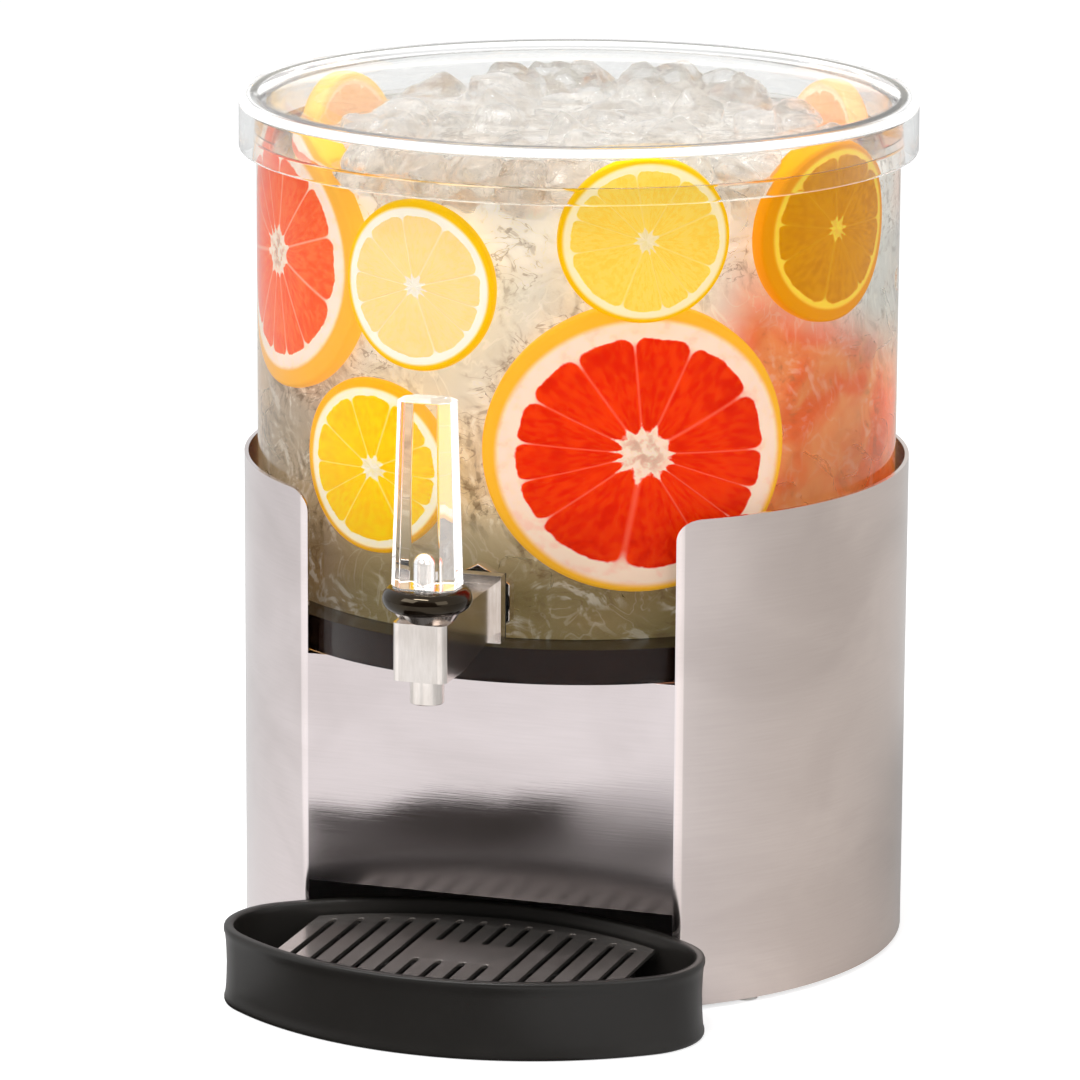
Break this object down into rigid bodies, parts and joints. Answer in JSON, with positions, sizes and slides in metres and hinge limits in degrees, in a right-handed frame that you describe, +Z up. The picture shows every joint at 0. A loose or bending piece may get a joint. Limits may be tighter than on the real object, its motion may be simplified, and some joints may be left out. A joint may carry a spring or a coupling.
{
  "type": "beverage dispenser",
  "caption": "Round clear drink container with a loose lid, standing in a sheet-steel base, with a tilting-handle tap in front over an oval drip tray with a slotted grille.",
  "frame": {"origin": "on the table, under the middle of the whole object's box", "axes": "+Z up, -Y towards the tap and the drip tray, +X to the right as seen from the front"},
  "size_m": [0.253, 0.314, 0.32],
  "materials": {
    "brushed_shell": "brushed stainless sheet",
    "grille_steel": "satin stainless plate",
    "tap_metal": "satin plated metal",
    "spring_steel": "bright drawn wire",
    "clear_acrylic": "clear polished acrylic",
    "black_acrylic": "polished black",
    "bonnet_black": "glossy moulded black",
    "tray_black": "satin moulded black",
    "rubber": "matte",
    "silicone": "matte translucent",
    "drink_contents": "iced drink shown in use",
    "fruit_contents": "fruit slices shown in use"
  },
  "bodies": {
    "base": {"base_shell": "brushed_shell", "shelf_plate": "brushed_shell", "base_feet": "rubber"},
    "container": {"container_tube": "clear_acrylic", "container_floor": "black_acrylic", "tap_body": "tap_metal", "spout_nozzle": "tap_metal", "outer_gasket": "rubber", "inner_gasket": "rubber", "lock_nut": "tap_metal", "bonnet_cap": "bonnet_black", "stem_seal": "silicone", "closing_spring": "spring_steel"},
    "lid": {"lid": "clear_acrylic"},
    "lever": {"tap_handle": "clear_acrylic", "lever_stem": "tap_metal", "lever_pin": "spring_steel"},
    "valve": {"valve_stem": "tap_metal", "seat_cup": "silicone"},
    "tray": {"drip_tray": "tray_black"},
    "grille": {"drip_grille": "grille_steel"}
  },
  "joints": [
    {"name": "container_lift", "type": "slide", "parent": "base", "child": "container", "axis": [0, 0, 1], "range_m": [0, 0.08]},
    {"name": "lid_lift", "type": "slide", "parent": "container", "child": "lid", "axis": [0, 0, 1], "range_m": [0, 0.06]},
    {"name": "lever_pull", "type": "hinge", "parent": "container", "child": "lever", "pos_m": [0, -0.15, 0.1707], "axis": [1, 0, 0], "range_deg": [0, 25], "stiffness_Nm_per_rad": 0.05, "springref_deg": -25.78},
    {"name": "valve_lift", "type": "slide", "parent": "container", "child": "valve", "axis": [0, 0, 1], "range_m": [0, 0.0042], "deforming": ["closing_spring"]},
    {"name": "tray_slide", "type": "slide", "parent": "base", "child": "tray", "axis": [0, -1, 0], "range_m": [0, 0.08]},
    {"name": "grille_lift", "type": "slide", "parent": "tray", "child": "grille", "axis": [0, 0, 1], "range_m": [0, 0.012]}
  ],
  "couplings": [
    {"joint": "valve_lift", "follows": "lever_pull", "m_per_rad": 0.009533}
  ]
}
